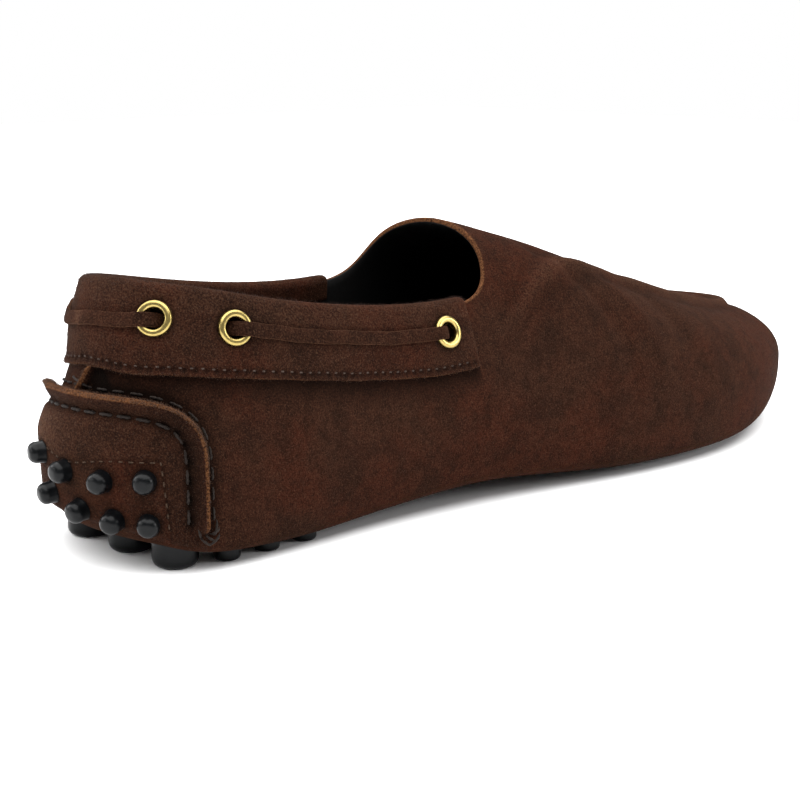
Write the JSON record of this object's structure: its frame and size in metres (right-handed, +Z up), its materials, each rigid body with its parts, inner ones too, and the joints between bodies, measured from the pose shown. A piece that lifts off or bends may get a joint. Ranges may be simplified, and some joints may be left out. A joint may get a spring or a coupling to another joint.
{
  "type": "driving loafer",
  "caption": "Right suede driving loafer: hollow moccasin upper with laced collar band and brass eyelets, sewn heel patch and rubber pebbles under and up the heel.",
  "frame": {"origin": "on the floor under the middle of the shoe's box", "axes": "+Y from heel to toe, +X to the outer side of the foot, +Z up from the floor"},
  "size_m": [0.0962, 0.2866, 0.0742],
  "materials": {
    "suede": "napped suede, dark brown",
    "raw_edge": "raw cut suede edge",
    "sole_suede": "suede, worn flat",
    "sock_leather": "smooth black lining leather",
    "brass": "satin",
    "rubber": "moulded, satin black"
  },
  "bodies": {
    "root": {"back_seam": "raw_edge", "collar_band": "suede", "eyelet_front_inner": "brass", "eyelet_front_outer": "brass", "eyelet_rear_inner": "brass", "eyelet_rear_outer": "brass", "eyelet_side_inner": "brass", "eyelet_side_outer": "brass", "heel_back_pebble_lower_1": "rubber", "heel_back_pebble_lower_2": "rubber", "heel_back_pebble_lower_3": "rubber", "heel_back_pebble_lower_4": "rubber", "heel_back_pebble_upper_1": "rubber", "heel_back_pebble_upper_2": "rubber", "heel_back_pebble_upper_3": "rubber", "heel_back_pebble_upper_4": "rubber", "heel_patch": "suede", "heel_pebble_1": "rubber", "heel_pebble_2": "rubber", "heel_pebble_3": "rubber", "heel_pebble_4": "rubber", "heel_pebble_5": "rubber", "insole": "sock_leather", "lace_back": "suede", "lace_inner": "suede", "lace_outer": "suede", "sole": "sole_suede", "sole_pebble_1": "rubber", "sole_pebble_10": "rubber", "sole_pebble_11": "rubber", "sole_pebble_12": "rubber", "sole_pebble_13": "rubber", "sole_pebble_14": "rubber", "sole_pebble_15": "rubber", "sole_pebble_16": "rubber", "sole_pebble_17": "rubber", "sole_pebble_18": "rubber", "sole_pebble_19": "rubber", "sole_pebble_2": "rubber", "sole_pebble_20": "rubber", "sole_pebble_21": "rubber", "sole_pebble_22": "rubber", "sole_pebble_23": "rubber", "sole_pebble_24": "rubber", "sole_pebble_25": "rubber", "sole_pebble_26": "rubber", "sole_pebble_27": "rubber", "sole_pebble_28": "rubber", "sole_pebble_3": "rubber", "sole_pebble_4": "rubber", "sole_pebble_5": "rubber", "sole_pebble_6": "rubber", "sole_pebble_7": "rubber", "sole_pebble_8": "rubber", "sole_pebble_9": "rubber", "upper": "suede"}
  },
  "joints": []
}
